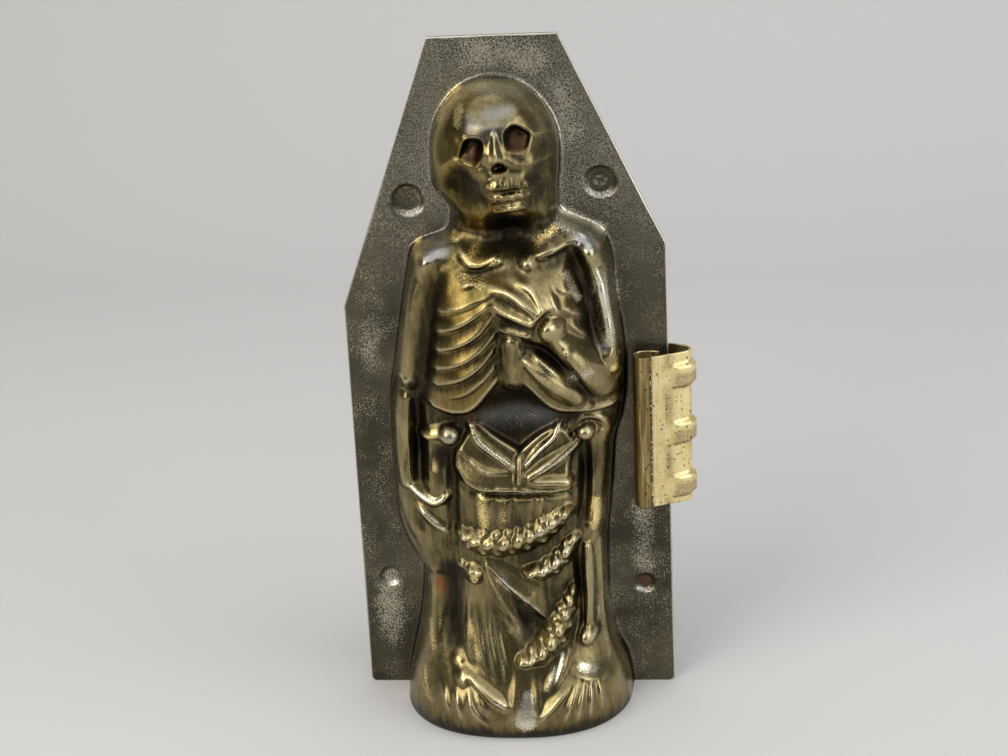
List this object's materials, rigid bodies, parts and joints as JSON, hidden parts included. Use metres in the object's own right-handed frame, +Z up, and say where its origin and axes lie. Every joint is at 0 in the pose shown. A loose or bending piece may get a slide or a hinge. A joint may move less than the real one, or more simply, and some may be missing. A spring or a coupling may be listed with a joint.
{
  "type": "confectionery mold",
  "caption": "Upright pressed-tin chocolate mold: a skeleton in relief on a coffin-shaped flange, with a matching back half, an open pour mouth below and a spring clip on the edge.",
  "frame": {"origin": "middle of the open pour mouth at the base, on the plane where the two halves meet", "axes": "+Z up along the figure, +X to the viewer's right towards the clip, +Y from the front half to the back half"},
  "size_m": [0.0843, 0.0499, 0.165],
  "materials": {
    "front_tin": "aged tinned steel with a brown-gold patina, bright on the high spots",
    "back_tin": "aged tinned steel with a dark brown patina",
    "clip_brass": "pale worn brass with dark specks"
  },
  "bodies": {
    "back": {"back_half": "back_tin"},
    "front": {"front_half": "front_tin"},
    "clip": {"spring_clip": "clip_brass"}
  },
  "joints": [
    {"name": "front_lift", "type": "slide", "parent": "back", "child": "front", "axis": [0, -1, 0], "range_m": [0, 0.012]},
    {"name": "clip_pull", "type": "slide", "parent": "back", "child": "clip", "axis": [0.9991, -0.0416, 0], "range_m": [0, 0.1442]}
  ],
  "couplings": [
    {"joint": "clip_pull", "follows": "front_lift", "ratio": 12.01}
  ]
}
